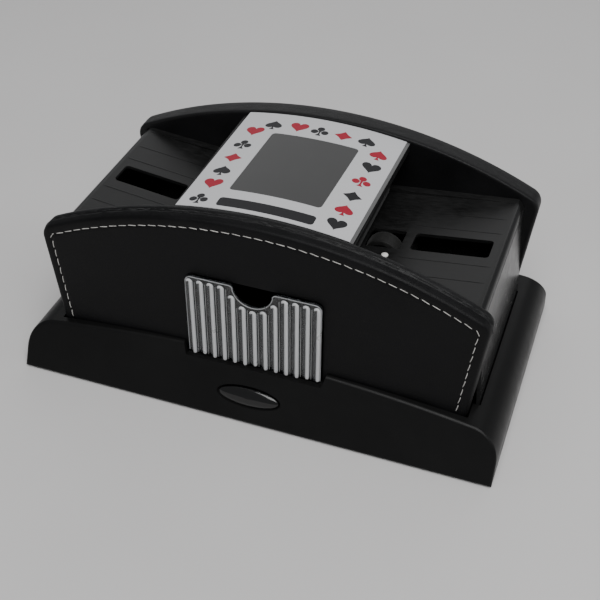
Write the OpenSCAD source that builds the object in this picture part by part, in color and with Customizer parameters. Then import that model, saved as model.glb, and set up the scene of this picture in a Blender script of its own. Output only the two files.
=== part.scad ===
// Battery-driven two-tray card shuffler with leather side panels.
// Front is -Y, right is +X, up is +Z. The origin is the bottom centre.

/* [Base] */
// Width of the base across its shoulders
base_w = 244; // [242:1:248]
// Depth of the base where it stands
base_d = 144; // [143:1:148]
// How far the front and rear faces lean in, per unit of height
base_lean = 0.45; // [0.42:0.01:0.46]
// Radius of the round shoulder at each end
shoulder_r = 15; // [14:0.5:16]
// Height of the base's top face in the middle
base_crown_z = 32.3; // [32:0.1:33]
// Wall thickness of the base
wall = 2.2; // [2:0.1:2.4]

/* [Side panels] */
// Width of a panel at its widest
panel_w = 220; // [218:1:222]
// Height of the panels' arched top
panel_top_z = 107.1; // [106.5:0.1:108]
// Radius of the arched top
panel_arch_r = 243; // [240:1:250]
// Thickness of the panel board
board_t = 5.6; // [5.4:0.1:5.8]
// Thickness of the padded leather facing
leather_t = 4.6; // [4.4:0.1:4.8]
// Clear distance between the two panels, a card's length and a little more
panel_gap = 91; // [90.8:0.1:91.2]

/* [Trays] */
// Slope of the tray floor down to the middle, in degrees
tray_slope = 7; // [6.8:0.1:7.1]
// Height of the tray floor at its outer edge
tray_outer_z = 82.5; // [82.3:0.1:82.8]
// Thickness of the tray floor
tray_t = 1.8; // [1.6:0.1:1.9]
// Length of the finger slot
slot_l = 37.4; // [34:0.2:38]
// Width of the finger slot
slot_w = 14.2; // [12:0.2:16]

/* [Cover] */
// Width of the printed card under the clear cover
label_w = 85; // [83:0.5:86]
// Width of the viewing window
window_w = 44; // [40:1:48]
// Depth of the viewing window
window_d = 54; // [48:0.5:54]

/* [Drawer] */
// Outside width of the card drawer, a card's width and its walls
drawer_w = 67.6; // [67.2:0.1:67.8]
// Height of the drawer front
drawer_h = 47; // [46:0.5:47.5]
// Radius of the thumb notch
notch_r = 10.5; // [9:0.5:11]
// Number of ribs on the drawer front
rib_count = 13; // [9:2:13]

/* [Feed rollers] */
// Outside radius of the rubber tyre
tyre_r = 9; // [8.8:0.1:9]
// Width of the rubber tyre
tyre_w = 9; // [8:0.5:12]
// Radius of the roller's steel shaft
shaft_r = 1.5; // [1.4:0.05:1.5]
// Gear module
gear_m = 0.8; // [0.78:0.01:0.8]

/* [Start button] */
// Length of the oval button
button_w = 31; // [28:0.5:31.5]
// Height of the oval button
button_h = 9; // [8:0.5:9.5]

/* [Hidden] */
$fn = 96;
fit = 0.05;         // radial running clearance of shafts and gear bores
gap = 0.4;          // clearance round a sliding or lift-off piece
big = 400;          // longer than the whole object

// Base
bottom_z = 1;
plate_t = 2;
plate_z = bottom_z + plate_t;
shoulder_x = base_w / 2 - shoulder_r;
shoulder_z = 26;
crown_sag = base_crown_z - shoulder_z;
crown_r = (pow(shoulder_x, 2) + pow(crown_sag, 2)) / (2 * crown_sag);
crown_cz = base_crown_z - crown_r;
shoulder_at = [shoulder_x, crown_cz + sqrt(pow(crown_r - shoulder_r, 2) - pow(shoulder_x, 2))];
lean_angle = atan(base_lean);
panel_out_y = panel_gap / 2 + board_t + leather_t;
well_x = 108.7;
well_y = panel_out_y + 0.2;
slot_half_x = panel_w / 2 - 5;
post_x = 112;
post_y = 57;
post_r = 3.5;
screw_r = 1.4;

// Panels
arch_cz = panel_top_z - panel_arch_r;
side_z = [26, 76];
side_x = [panel_w / 2 - 5.5, panel_w / 2];
corner_r = 8;
panel_bottom_z = 18;
side_run = [side_x[1] - side_x[0], side_z[1] - side_z[0]];
side_dir = side_run / norm(side_run);
side_normal = [side_dir[1], -side_dir[0]];
corner_base = [side_x[1], side_z[1]] - corner_r * side_normal;
arch_offset = corner_base - [0, arch_cz];
arch_half_b = arch_offset * side_dir;
arch_c = arch_offset * arch_offset - pow(panel_arch_r - corner_r, 2);
corner_at = corner_base + (-arch_half_b + sqrt(pow(arch_half_b, 2) - arch_c)) * side_dir;
panel_screw_at = [[58, 34], [92, 58]];
board_inset = 0.5;

// Trays
tray_in_x = 35;
tray_out_x = 104;
tray_y = panel_gap / 2 - 0.1;
ledge_w = 4.2;
ledge_in_z = 76.7;
slot_x = 60.2;
hatch_x = [38, 55.3];
hatch_y = 7.5;
tray_rib_y = [13.7, 26.3];
pin_at = [50.2, -14.2];

// Chassis
deck_z = 24;
deck_t = 2.5;
shelf_z = 26;
bay_x = 34.6;
bulkhead_t = 1.6;
frame_wall_y = 43;
frame_x = 103;
boss_at = [96, 36];

// Cover, in layers that follow the panels' arch
label_t = 0.3;
cover_r = panel_arch_r - 0.4 - label_t;
cover_t = 1.4;
frame_top_r = cover_r - cover_t - 0.05;
cover_x = 45.4;
cover_y = panel_gap / 2 - 0.1;
cover_low_z = 97.6;
frame_in_x = 35;
frame_in_y = 42.5;
window_y = -1.2;
window_corner_r = 2.5;
gate_t = 1.5;
gate_y = 40;
gate_gap = 1;

// Drawer
drawer_z = 26.4;
drawer_front_y = -57.6;
drawer_rear_y = 42;
drawer_t = 1.5;
drawer_wall_h = 32;
drawer_corner_r = 3;
notch_z = drawer_z + drawer_h - 0.3;
rib_w = 2.4;
rib_out = 1;
rib_top_gap = 1.6;
rib_step = (drawer_w - 4.3) / (rib_count - 1);

// Gear train: roller gear, idler, compound gear and motor pinion
roller_teeth = 12;
idler_teeth = 30;
small_teeth = 10;
large_teeth = 40;
pinion_teeth = 10;
mesh_gap = 0.08;
train_angle = [-50, -10, -60];
function spaced(a, b) = gear_m * (a + b) / 2 + mesh_gap;
function polar(r, t) = [r * cos(t), r * sin(t)];
roller_at = [46, 67.4];
idler_at = roller_at + polar(spaced(roller_teeth, idler_teeth), train_angle[0]);
compound_at = idler_at + polar(spaced(idler_teeth, small_teeth), train_angle[1]);
motor_at = compound_at + polar(spaced(large_teeth, pinion_teeth), train_angle[2]);

// Turn of a gear of n2 teeth that meshes with one of n1 teeth, turned by t1,
// when the line from the first centre to the second points along angle b
function meshed(t1, n1, n2, b) = b + 180 - 360 / n2 * ((t1 - b) * n1 / 360 + 0.5);
idler_turn = meshed(0, roller_teeth, idler_teeth, train_angle[0]);
small_turn = meshed(idler_turn, idler_teeth, small_teeth, train_angle[1]);
pinion_turn = meshed(small_turn, large_teeth, pinion_teeth, train_angle[2]);
near_y = [36.5, 40.5];
far_y = [31, 35.4];
stud_r = 1.5;
bush_r = 3;
hub_r = 6.8;

// Motor
motor_r = 10;
motor_flat = 7.5;
motor_y = [4, 29];
motor_shaft_r = 1;
motor_boss_r = 3;
bracket_t = 1.6;

// Batteries
cell_r = 7.1;
cell_l = 49;
cell_nub_l = 1.3;
contact_spring_l = 4.3;
contact_t = 0.5;
cell_step = 14.6;
cell_z = plate_z + 0.5 + cell_r;
cell_rows = [-1.5, -0.5, 0.5, 1.5];
box_t = 1.2;
box_x = (contact_spring_l + cell_l + cell_nub_l) / 2 + contact_t + box_t;
box_y = 31;
box_z = 20;
cell_x = -box_x + box_t + contact_t + contact_spring_l;
door_t = 1.6;

// Start button and its switch, in a frame whose Z leaves the sloping front face
button_z = 13.4;
button_y = -base_d / 2 + base_lean * button_z;
button_rise = 1.2;
button_dome_r = 70;
button_skirt_z = -4;
switch_z = -8.5;
board_z = -12.5;
board_w = 50;
board_h = [-4, 6];
board_post_x = 21.5;
wire_r = 0.7;

// ---------- shared shapes ----------

// Box from its lowest to its highest corner
module block(low, high) {
    translate(low) cube(high - low);
}

// Round bar along Y from y1 to y2 at [x, z]
module bar_y(at, r, y1, y2) {
    translate([at[0], y2, at[1]]) rotate([90, 0, 0]) cylinder(r = r, h = y2 - y1);
}

// Round bar along Z from z1 to z2 at [x, y]
module bar_z(at, r, z1, z2) {
    translate([at[0], at[1], z1]) cylinder(r = r, h = z2 - z1);
}

// Outline in the XZ plane, extruded along Y from y1 to y2
module slab_y(y1, y2) {
    translate([0, y2, 0]) rotate([90, 0, 0]) linear_extrude(y2 - y1) children();
}

// Rectangle with round corners, centred
module round_rect(w, h, r) {
    square([w - 2 * r, h], center = true);
    square([w, h - 2 * r], center = true);
    for (x = [-1, 1], y = [-1, 1])
        translate([x * (w / 2 - r), y * (h / 2 - r)]) circle(r);
}

module both_sides() {
    children();
    mirror([1, 0, 0]) children();
}

module front_and_back() {
    children();
    mirror([0, 1, 0]) children();
}

module four_corners() {
    both_sides() front_and_back() children();
}

// ---------- base ----------

// End profile of the base, pulled in by e: round shoulders under a slightly arched top
module base_profile(e) {
    half = base_w / 2 - e;
    up = (shoulder_at - [0, crown_cz]) / norm(shoulder_at - [0, crown_cz]);
    top_at = shoulder_at + (shoulder_r - e) * up;
    slab_y(-base_d, base_d) {
        for (s = [-1, 1]) translate([s * shoulder_at[0], shoulder_at[1]]) circle(shoulder_r - e);
        intersection() {
            translate([0, crown_cz]) circle(crown_r - e, $fn = 360);
            polygon([
                [-half, 0], [half, 0], [half, shoulder_at[1]], top_at, [top_at[0], 2 * base_crown_z],
                [-top_at[0], 2 * base_crown_z], [-top_at[0], top_at[1]], [-half, shoulder_at[1]]
            ]);
        }
    }
}

// Side profile of the base, pulled in by e: leaning front and rear faces
module base_wedge(e) {
    foot = base_d / 2 - e / cos(lean_angle);
    top = 2 * shoulder_z;
    rotate([90, 0, 90]) translate([0, 0, -big / 2]) linear_extrude(big)
        polygon([[-foot, 0], [foot, 0], [foot - base_lean * top, top], [-foot + base_lean * top, top]]);
}

module base_form(e) {
    intersection() {
        base_profile(e);
        base_wedge(e);
    }
}

// Places its children on the sloping front face, with Z pointing out of it
module on_front_face() {
    translate([0, button_y, button_z]) rotate([90 - lean_angle, 0, 0]) children();
}

module oval(w, h) {
    polygon([for (t = [0 : 5 : 355]) [w / 2 * cos(t), h / 2 * sin(t)]]);
}

module base_shell() {
    color([0.05, 0.05, 0.055]) difference() {
        intersection() {
            base_form(0);
            union() {
                difference() {
                    block([-big / 2, -big / 2, bottom_z], [big / 2, big / 2, base_crown_z + 1]);
                    base_form(wall);
                }
                four_corners() bar_z([post_x, post_y], post_r, plate_z, shoulder_z);
                on_front_face() for (s = [-1, 1])
                    translate([s * board_post_x, 1, board_z]) cylinder(r = 2, h = -board_z - wall / 2);
            }
        }
        block([-well_x, -tray_y - 0.2, plate_z], [well_x, tray_y + 0.2, base_crown_z + 1]);
        block([-slot_half_x, -well_y, plate_z], [slot_half_x, well_y, base_crown_z + 1]);
        slab_y(-base_d / 2, 0) polygon([
            [-bay_x - 0.2, shelf_z], [bay_x + 0.2, shelf_z],
            [bay_x + 2.6, base_crown_z + 1], [-bay_x - 2.6, base_crown_z + 1]
        ]);
        on_front_face() {
            translate([0, 0, -2 * wall]) linear_extrude(3 * wall)
                oval(button_w + 2 * gap, button_h + 2 * gap);
            translate([0, 0, -0.6]) linear_extrude(wall) oval(button_w + 2, button_h + 2);
        }
        four_corners() bar_z([post_x, post_y], screw_r, 0, 12);
    }
}

module bottom_plate() {
    plate_y = base_d / 2 - base_lean * plate_z - wall / cos(lean_angle) - 0.1;
    plate_x = base_w / 2 - wall - 0.1;
    color([0.07, 0.07, 0.07]) difference() {
        block([-plate_x, -plate_y, bottom_z], [plate_x, plate_y, plate_z]);
        block(
            [-box_x + box_t + 0.3, -box_y + box_t + 0.3, 0],
            [box_x - box_t - 0.3, box_y - box_t - 0.3, 2 * plate_z]
        );
        four_corners() {
            bar_z([post_x, post_y], screw_r, 0, 2 * plate_z);
            bar_z([post_x, post_y], 2.8, 0, bottom_z + 1.2);
            bar_z(boss_at, screw_r, 0, 2 * plate_z);
            bar_z(boss_at, 2.8, 0, bottom_z + 1.2);
            bar_z([104, 50], 7, 0, bottom_z + 0.5);
        }
    }
}

module battery_door() {
    door_x = box_x - box_t - 0.3 - gap;
    door_y = box_y - box_t - 0.3 - gap;
    color([0.07, 0.07, 0.07]) difference() {
        block([-door_x, -door_y, bottom_z], [door_x, door_y, bottom_z + door_t]);
        for (k = [-2 : 2]) block([-8, door_y - 10 + 1.6 * k, 0], [8, door_y - 9.2 + 1.6 * k, bottom_z + 0.5]);
    }
}

module rubber_feet() {
    color([0.1, 0.1, 0.1]) four_corners() bar_z([104, 50], 7, 0, bottom_z + 0.5);
}

// Pan-head screw pointing up from z = 0 at the head's underside
module screw(length) {
    cylinder(r = screw_r, h = length);
    translate([0, 0, -1]) cylinder(r = 2.6, h = 1);
}

module base_screws() {
    color("silver") four_corners() translate([post_x, post_y, bottom_z + 1.2]) screw(9);
}

module chassis_screws() {
    color("silver") four_corners() translate([boss_at[0], boss_at[1], bottom_z + 1.2]) screw(9);
}

// ---------- batteries ----------

module battery_box() {
    color([0.12, 0.12, 0.12]) difference() {
        block([-box_x, -box_y, plate_z], [box_x, box_y, box_z]);
        block([-box_x + box_t, -box_y + box_t, 0], [box_x - box_t, box_y - box_t, box_z - box_t]);
    }
}

module batteries() {
    color([0.2, 0.35, 0.25]) for (k = cell_rows)
        translate([cell_x, k * cell_step, cell_z]) rotate([0, 90, 0]) {
            cylinder(r = cell_r, h = cell_l);
            translate([0, 0, cell_l]) cylinder(r = 2.7, h = cell_nub_l);
        }
}

// Coiled contact at each cell's flat end
module contact_springs() {
    coils = 3;
    pitch = 1.2;
    color("silver") for (k = cell_rows)
        translate([cell_x - contact_spring_l, k * cell_step, cell_z]) rotate([0, 90, 0])
            rotate_extrude() {
                for (c = [0 : coils - 1]) translate([3.2, 0.6 + c * pitch]) circle(0.6);
                translate([2.9, 0]) square([0.6, contact_spring_l]);
            }
}

module contact_plates() {
    color("gold") for (k = cell_rows, s = [-1, 1])
        translate([s * (box_x - box_t - contact_t / 2), k * cell_step, cell_z])
            cube([contact_t, 10, 12], center = true);
}

// ---------- start button and switch ----------

module start_button() {
    color([0.03, 0.03, 0.03]) on_front_face() {
        intersection() {
            translate([0, 0, button_skirt_z]) linear_extrude(-button_skirt_z + 2 * button_rise)
                oval(button_w, button_h);
            translate([0, 0, button_rise - button_dome_r]) sphere(button_dome_r, $fn = 180);
        }
        translate([0, 0, button_skirt_z]) linear_extrude(1) oval(button_w + 4, button_h + 3.5);
        translate([0, 0, switch_z + 1.7]) cylinder(r = 2, h = 3);
    }
}

module switch_plunger() {
    color([0.6, 0.1, 0.1]) on_front_face()
        translate([0, 0, switch_z - 1.5]) cylinder(r = 1.7, h = 3.2);
}

module switch_body() {
    color([0.15, 0.15, 0.15]) on_front_face() difference() {
        translate([-3.5, -3.5, board_z]) cube([7, 7, switch_z - board_z]);
        translate([0, 0, switch_z - 3.4]) cylinder(r = 1.7 + fit, h = 5);
    }
}

module circuit_board() {
    color([0.1, 0.4, 0.2]) on_front_face()
        translate([-board_w / 2, board_h[0], board_z - 1.6]) cube([board_w, board_h[1] - board_h[0], 1.6]);
}

// ---------- trays ----------

// Height of the tray's sloping floor, and of the ledges beside it, at distance x from the middle
function floor_z(x) = tray_outer_z - (tray_out_x - x) * tan(tray_slope);
function ledge_z(x) = tray_outer_z - (tray_out_x - x) * (tray_outer_z - ledge_in_z) / (tray_out_x - 43);

// ---------- chassis ----------

// Height of the chassis walls just under the tray's floor
function wall_z(x) = floor_z(x) - tray_t - 0.03;

module chassis() {
    color([0.16, 0.16, 0.17]) difference() {
        union() {
            block([-frame_x, -frame_wall_y - 2.3, deck_z - deck_t], [frame_x, frame_wall_y + 2.3, deck_z]);
            block([-bay_x, drawer_front_y, deck_z - deck_t], [bay_x, frame_wall_y, shelf_z]);
            both_sides() {
                block([bay_x, -frame_wall_y, deck_z], [bay_x + bulkhead_t, frame_wall_y, wall_z(bay_x)]);
                front_and_back() slab_y(frame_wall_y, frame_wall_y + 2.3)
                    polygon([
                        [bay_x, deck_z], [frame_x, deck_z], [frame_x, wall_z(frame_x)], [bay_x, wall_z(bay_x)]
                    ]);
                bar_z(pin_at, 2.2, deck_z, wall_z(pin_at[0] - 2.2));
            }
            block([-bay_x, frame_wall_y, deck_z], [bay_x, frame_wall_y + 2.3, wall_z(bay_x)]);
            four_corners() bar_z(boss_at, post_r, plate_z, deck_z);
        }
        both_sides() {
            front_and_back() {
                bar_y(roller_at, bush_r, frame_wall_y - 1, frame_wall_y + 3);
                for (at = panel_screw_at) bar_y(at, screw_r, frame_wall_y - 1, frame_wall_y + 3);
            }
            for (at = [idler_at, compound_at]) bar_y(at, stud_r, frame_wall_y - 1, frame_wall_y + 3);
            bar_z(pin_at, 1, deck_z + 10, 80);
            bar_z([70, -30], 2, 0, deck_z + 1);
        }
        four_corners() bar_z(boss_at, screw_r, 0, 12);
    }
}

// ---------- side panels ----------

// Arched panel outline pulled in by e, from y1 to y2
module panel_form(e, y1, y2) {
    low = side_x[0] - (side_z[0] - panel_bottom_z) * side_dir[0] / side_dir[1] - e / abs(side_dir[1]);
    side_at = corner_at + (corner_r - e) * side_normal;
    up = (corner_at - [0, arch_cz]) / norm(corner_at - [0, arch_cz]);
    top_at = corner_at + (corner_r - e) * up;
    slab_y(y1, y2) {
        for (s = [-1, 1]) translate([s * corner_at[0], corner_at[1]]) circle(corner_r - e);
        intersection() {
            translate([0, arch_cz]) circle(panel_arch_r - e, $fn = 360);
            polygon([
                [-low, panel_bottom_z], [low, panel_bottom_z], side_at, top_at, [top_at[0], 2 * panel_top_z],
                [-top_at[0], 2 * panel_top_z], [-top_at[0], top_at[1]], [-side_at[0], side_at[1]]
            ]);
        }
    }
}

// Cut-out that the drawer passes through
module drawer_cutout() {
    top = drawer_z + drawer_h + 1;
    slab_y(-big / 2, 0) translate([0, top / 2])
        round_rect(2 * bay_x + 0.4, top, drawer_corner_r + 1);
    block([-bay_x - 0.2, -big / 2, 0], [bay_x + 0.2, 0, top / 2]);
}

module panel_screw_holes() {
    both_sides() for (at = panel_screw_at) bar_y(at, screw_r, 0, panel_gap / 2 + board_t - 0.6);
}

module rear_board_form() {
    difference() {
        panel_form(board_inset, panel_gap / 2, panel_gap / 2 + board_t);
        panel_screw_holes();
    }
}

module front_board() {
    color([0.1, 0.1, 0.1]) difference() {
        mirror([0, 1, 0]) rear_board_form();
        drawer_cutout();
    }
}

module rear_board() {
    color([0.1, 0.1, 0.1]) rear_board_form();
}

module front_leather() {
    color([0.04, 0.04, 0.04]) difference() {
        panel_form(0, -panel_out_y, -panel_out_y + leather_t);
        drawer_cutout();
    }
}

module rear_leather() {
    color([0.04, 0.04, 0.04]) panel_form(0, panel_out_y - leather_t, panel_out_y);
}

module panel_screws() {
    color("silver") four_corners() for (at = panel_screw_at) {
        bar_y(at, screw_r, frame_wall_y, panel_gap / 2 + board_t - 1);
        bar_y(at, 2.6, frame_wall_y - 1.3, frame_wall_y);
    }
}

// Tray on the right: sloping floor, guide ledges along its sides and the glossy outer wall
module tray() {
    wall_top = [tray_out_x + 0.9, tray_outer_z];
    wall_low = [well_x - 0.4, deck_z + 0.5];
    edge_r = 1.6;
    wall_t = 1.8;
    difference() {
        union() {
            slab_y(-tray_y, tray_y) {
                polygon([
                    [tray_in_x, floor_z(tray_in_x) - tray_t], [tray_in_x, floor_z(tray_in_x)],
                    [tray_out_x - edge_r, floor_z(tray_out_x - edge_r)],
                    [tray_out_x, wall_top[1] - edge_r], [tray_out_x, floor_z(tray_out_x) - tray_t]
                ]);
                translate([wall_top[0] - edge_r, wall_top[1] - edge_r]) circle(edge_r);
                polygon([
                    [wall_top[0], wall_top[1] - edge_r], wall_low, [wall_low[0] - wall_t, wall_low[1]],
                    [wall_top[0] - wall_t, wall_top[1] - 3]
                ]);
            }
            for (y = [-tray_y, tray_y - ledge_w]) slab_y(y, y + ledge_w)
                polygon([
                    [tray_in_x, floor_z(tray_in_x) - 1], [tray_in_x, ledge_z(tray_in_x)],
                    [tray_out_x - edge_r, ledge_z(tray_out_x - edge_r)],
                    [tray_out_x - edge_r, tray_outer_z - 1]
                ]);
            for (y = tray_rib_y, s = [-1, 1]) slab_y(s * y - 0.4, s * y + 0.4)
                polygon([
                    [57, floor_z(57) - 1], [57, floor_z(57) + 0.1], [59, floor_z(59) + 0.3],
                    [98, floor_z(98) + 0.3], [100, floor_z(100) + 0.1], [100, floor_z(100) - 1]
                ]);
        }
        translate([slot_x + slot_l / 2, 0, 0]) linear_extrude(big) round_rect(slot_l, slot_w, 2);
        translate([(hatch_x[0] + hatch_x[1]) / 2, 0, 0])
            linear_extrude(big) round_rect(hatch_x[1] - hatch_x[0], 2 * hatch_y, 1);
        bar_z(pin_at, 1, 0, big);
    }
}

module right_tray() {
    color([0.12, 0.12, 0.13]) tray();
}

module left_tray() {
    color([0.12, 0.12, 0.13]) mirror([1, 0, 0]) tray();
}

// Nylon pins that hold each tray to its post, with low domed heads
module tray_pins() {
    seat = floor_z(pin_at[0]) + 0.05;
    color("white") both_sides() {
        bar_z(pin_at, 1, 60, seat + 0.3);
        intersection() {
            bar_z(pin_at, 1.6, seat + 0.2, seat + 3);
            translate([pin_at[0], pin_at[1], seat + 1.3 - 2.4]) sphere(2.4);
        }
    }
}

// ---------- cover ----------

// Layer between two radii of the arch, x and y as half sizes
module arch_layer(r_low, r_high, x, y) {
    slab_y(-y, y) intersection() {
        translate([-x, cover_low_z]) square([2 * x, 20]);
        difference() {
            translate([0, arch_cz]) circle(r_high, $fn = 360);
            translate([0, arch_cz]) circle(r_low, $fn = 360);
        }
    }
}

module clear_cover() {
    lip_x = cover_x - cover_t;
    color([0.85, 0.9, 0.92, 0.35]) {
        arch_layer(cover_r - cover_t, cover_r, cover_x, cover_y);
        both_sides() slab_y(-cover_y, cover_y) intersection() {
            translate([lip_x, cover_low_z]) square([cover_t, 20]);
            translate([0, arch_cz]) circle(cover_r, $fn = 360);
        }
    }
}

module window_prism(e) {
    translate([0, window_y, 0]) linear_extrude(big)
        round_rect(window_w + 2 * e, window_d + 2 * e, window_corner_r);
}

module suit_card() {
    color("white") difference() {
        arch_layer(cover_r, cover_r + label_t, label_w / 2, cover_y - 0.6);
        window_prism(0);
    }
}

module window_pane() {
    color([0.35, 0.35, 0.35, 0.8]) intersection() {
        arch_layer(cover_r, cover_r + label_t, label_w / 2, cover_y);
        window_prism(-0.05);
    }
}

// Bridge under the cover that carries the two gates
module cover_frame() {
    frame_x2 = cover_x - cover_t;
    color([0.08, 0.08, 0.08]) difference() {
        slab_y(-cover_y, cover_y) intersection() {
            translate([-frame_x2, cover_low_z]) square([2 * frame_x2, 20]);
            translate([0, arch_cz]) circle(frame_top_r, $fn = 360);
        }
        block([-frame_in_x, -frame_in_y, 0], [frame_in_x, frame_in_y, big]);
    }
}

// Flap that lets one card at a time leave the right tray
module gate() {
    block([tray_in_x + 0.4, -gate_y, floor_z(tray_in_x + 0.4 + gate_t) + gate_gap],
          [tray_in_x + 0.4 + gate_t, gate_y, cover_low_z]);
}

module right_gate() {
    color([0.15, 0.15, 0.15]) gate();
}

module left_gate() {
    color([0.15, 0.15, 0.15]) mirror([1, 0, 0]) gate();
}

// ---------- drawer ----------

module card_drawer() {
    half = drawer_w / 2;
    top = drawer_z + drawer_h;
    color([0.85, 0.9, 0.92, 0.4]) {
        difference() {
            union() {
                slab_y(drawer_front_y, drawer_front_y + drawer_t) {
                    translate([0, drawer_z + drawer_h / 2]) round_rect(drawer_w, drawer_h, drawer_corner_r);
                    translate([-half, drawer_z]) square([drawer_w, drawer_h / 2]);
                }
                for (k = [0 : rib_count - 1]) {
                    x = (k - (rib_count - 1) / 2) * rib_step;
                    slab_y(drawer_front_y - rib_out, drawer_front_y + 0.5) {
                        translate([x - rib_w / 2, drawer_z])
                            square([rib_w, drawer_h - rib_top_gap - rib_w / 2]);
                        translate([x, top - rib_top_gap - rib_w / 2]) circle(rib_w / 2);
                    }
                }
            }
            bar_y([0, notch_z], notch_r, -big / 2, 0);
            block([-notch_r, -big / 2, notch_z], [notch_r, 0, top + 1]);
            slab_y(-big / 2, drawer_front_y) translate([0, notch_z]) {
                circle(notch_r + 2.5);
                translate([-notch_r - 2.5, 0]) square([2 * notch_r + 5, 10]);
            }
        }
        block([-half, drawer_front_y + drawer_t, drawer_z], [half, drawer_rear_y, drawer_z + drawer_t]);
        both_sides() block([half - drawer_t, drawer_front_y + drawer_t, drawer_z],
                           [half, drawer_rear_y, drawer_z + drawer_wall_h]);
        block([-half, drawer_rear_y - drawer_t, drawer_z], [half, drawer_rear_y, drawer_z + drawer_wall_h]);
    }
}

// ---------- drive unit, drawn on the right ----------

// Spur gear along Y from y1 to y2 with a bore, turned by t
module gear(at, teeth, y1, y2, bore, t) {
    pitch = 360 / teeth;
    root = gear_m * (teeth / 2 - 1.2);
    tip = gear_m * (teeth / 2 + 0.95);
    difference() {
        translate([at[0], y2, at[1]]) rotate([90, 0, 0]) linear_extrude(y2 - y1)
            polygon([for (k = [0 : teeth - 1], p = [[root, -0.3], [tip, -0.12], [tip, 0.12], [root, 0.3]])
                polar(p[0], t + (k + p[1]) * pitch)]);
        bar_y(at, bore, y1 - 1, y2 + 1);
    }
}

module feed_shaft() {
    bar_y(roller_at, shaft_r, -frame_wall_y - 1.8, frame_wall_y + 1.8);
}

module roller_hub() {
    difference() {
        bar_y(roller_at, hub_r, -tyre_w / 2 + 0.8, tyre_w / 2 - 0.8);
        bar_y(roller_at, shaft_r, -tyre_w, tyre_w);
    }
}

module roller_tyre() {
    difference() {
        bar_y(roller_at, tyre_r, -tyre_w / 2, tyre_w / 2);
        bar_y(roller_at, hub_r, -tyre_w, tyre_w);
    }
}

module shaft_bushes() {
    front_and_back() difference() {
        union() {
            bar_y(roller_at, bush_r, frame_wall_y - 0.5, frame_wall_y + 2.3);
            bar_y(roller_at, bush_r + 1, frame_wall_y - 1, frame_wall_y);
        }
        bar_y(roller_at, shaft_r + fit, frame_wall_y - 2, frame_wall_y + 3);
    }
}

module roller_gear() {
    gear(roller_at, roller_teeth, near_y[0], near_y[1], shaft_r, 0);
}

module idler_gear() {
    gear(idler_at, idler_teeth, near_y[0], near_y[1], stud_r + fit, idler_turn);
}

module compound_gear() {
    gear(compound_at, large_teeth, far_y[0], far_y[1], stud_r + fit, small_turn);
    gear(compound_at, small_teeth, far_y[1], near_y[1], stud_r + fit, small_turn);
}

module side_gear_studs() {
    bar_y(idler_at, stud_r, near_y[0] - 0.4, frame_wall_y + 2.3);
    bar_y(compound_at, stud_r, far_y[0] - 0.2, frame_wall_y + 2.3);
}

module motor_body(y1, y2, e) {
    intersection() {
        bar_y(motor_at, motor_r - e, y1, y2);
        block([motor_at[0] - motor_r, y1, motor_at[1] - motor_flat + e],
              [motor_at[0] + motor_r, y2, motor_at[1] + motor_flat - e]);
    }
}

module motor_can() {
    difference() {
        union() {
            motor_body(motor_y[0], motor_y[1], 0);
            bar_y(motor_at, motor_boss_r, motor_y[1] - 1, motor_y[1] + bracket_t);
        }
        bar_y(motor_at, motor_shaft_r + fit, motor_y[1] - 8, motor_y[1] + 3);
    }
}

module motor_cap() {
    motor_body(motor_y[0] - 2.5, motor_y[0], 0.3);
    for (s = [-1, 1]) translate([motor_at[0] + 5 * s, motor_y[0] - 4, motor_at[1]])
        cube([2.4, 4, 0.6], center = true);
}

module motor_bracket() {
    left = motor_at[0] - 12;
    right = motor_at[0] + 12;
    back = motor_y[1] + bracket_t;
    difference() {
        union() {
            block([left, motor_y[1], deck_z], [right, back, motor_at[1] + 9]);
            block([left, motor_y[1] - 16, deck_z], [right, back, deck_z + 1.2]);
        }
        bar_y(motor_at, motor_boss_r, motor_y[1] - 1, motor_y[1] + 3);
    }
}

module motor_shaft() {
    bar_y(motor_at, motor_shaft_r, motor_y[1] - 7, far_y[1]);
}

module motor_pinion() {
    gear(motor_at, pinion_teeth, far_y[0], far_y[1], motor_shaft_r, pinion_turn);
}

module gear_studs() {
    color("silver") both_sides() side_gear_studs();
}

// Point of the front face's own frame, in the model's frame
function front_point(x, y, z) = [x, button_y + y * sin(lean_angle) - z * cos(lean_angle),
                                 button_z + y * cos(lean_angle) + z * sin(lean_angle)];

// Wire through a list of points
module wire(points) {
    for (k = [1 : len(points) - 1]) hull() {
        translate(points[k - 1]) sphere(wire_r, $fn = 8);
        translate(points[k]) sphere(wire_r, $fn = 8);
    }
}

module wire_harness() {
    board_back = board_z - 1.6 - wire_r - 0.05;
    terminal_y = motor_y[0] - 6 - wire_r - 0.05;
    color("firebrick") {
        both_sides() wire([
            front_point(16, 3, board_back), front_point(16, 3, board_back - 3), [45, -40, 8], [70, -30, 10],
            [70, -30, 29], [motor_at[0] - 5, -12, motor_at[1]], [motor_at[0] - 5, terminal_y, motor_at[1]]
        ]);
        wire([front_point(5, 3, board_back), [5, -44, 10], [5, -box_y - wire_r - 0.05, 10]]);
    }
}

base_shell();
bottom_plate();
battery_door();
rubber_feet();
base_screws();
chassis_screws();
battery_box();
batteries();
contact_springs();
contact_plates();
start_button();
switch_plunger();
switch_body();
circuit_board();
chassis();
front_board();
rear_board();
front_leather();
rear_leather();
panel_screws();
left_tray();
right_tray();
tray_pins();
clear_cover();
suit_card();
window_pane();
cover_frame();
left_gate();
right_gate();
card_drawer();
wire_harness();
gear_studs();

// The left drive unit is the right one's mirror image
module left() {
    mirror([1, 0, 0]) children();
}

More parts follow.
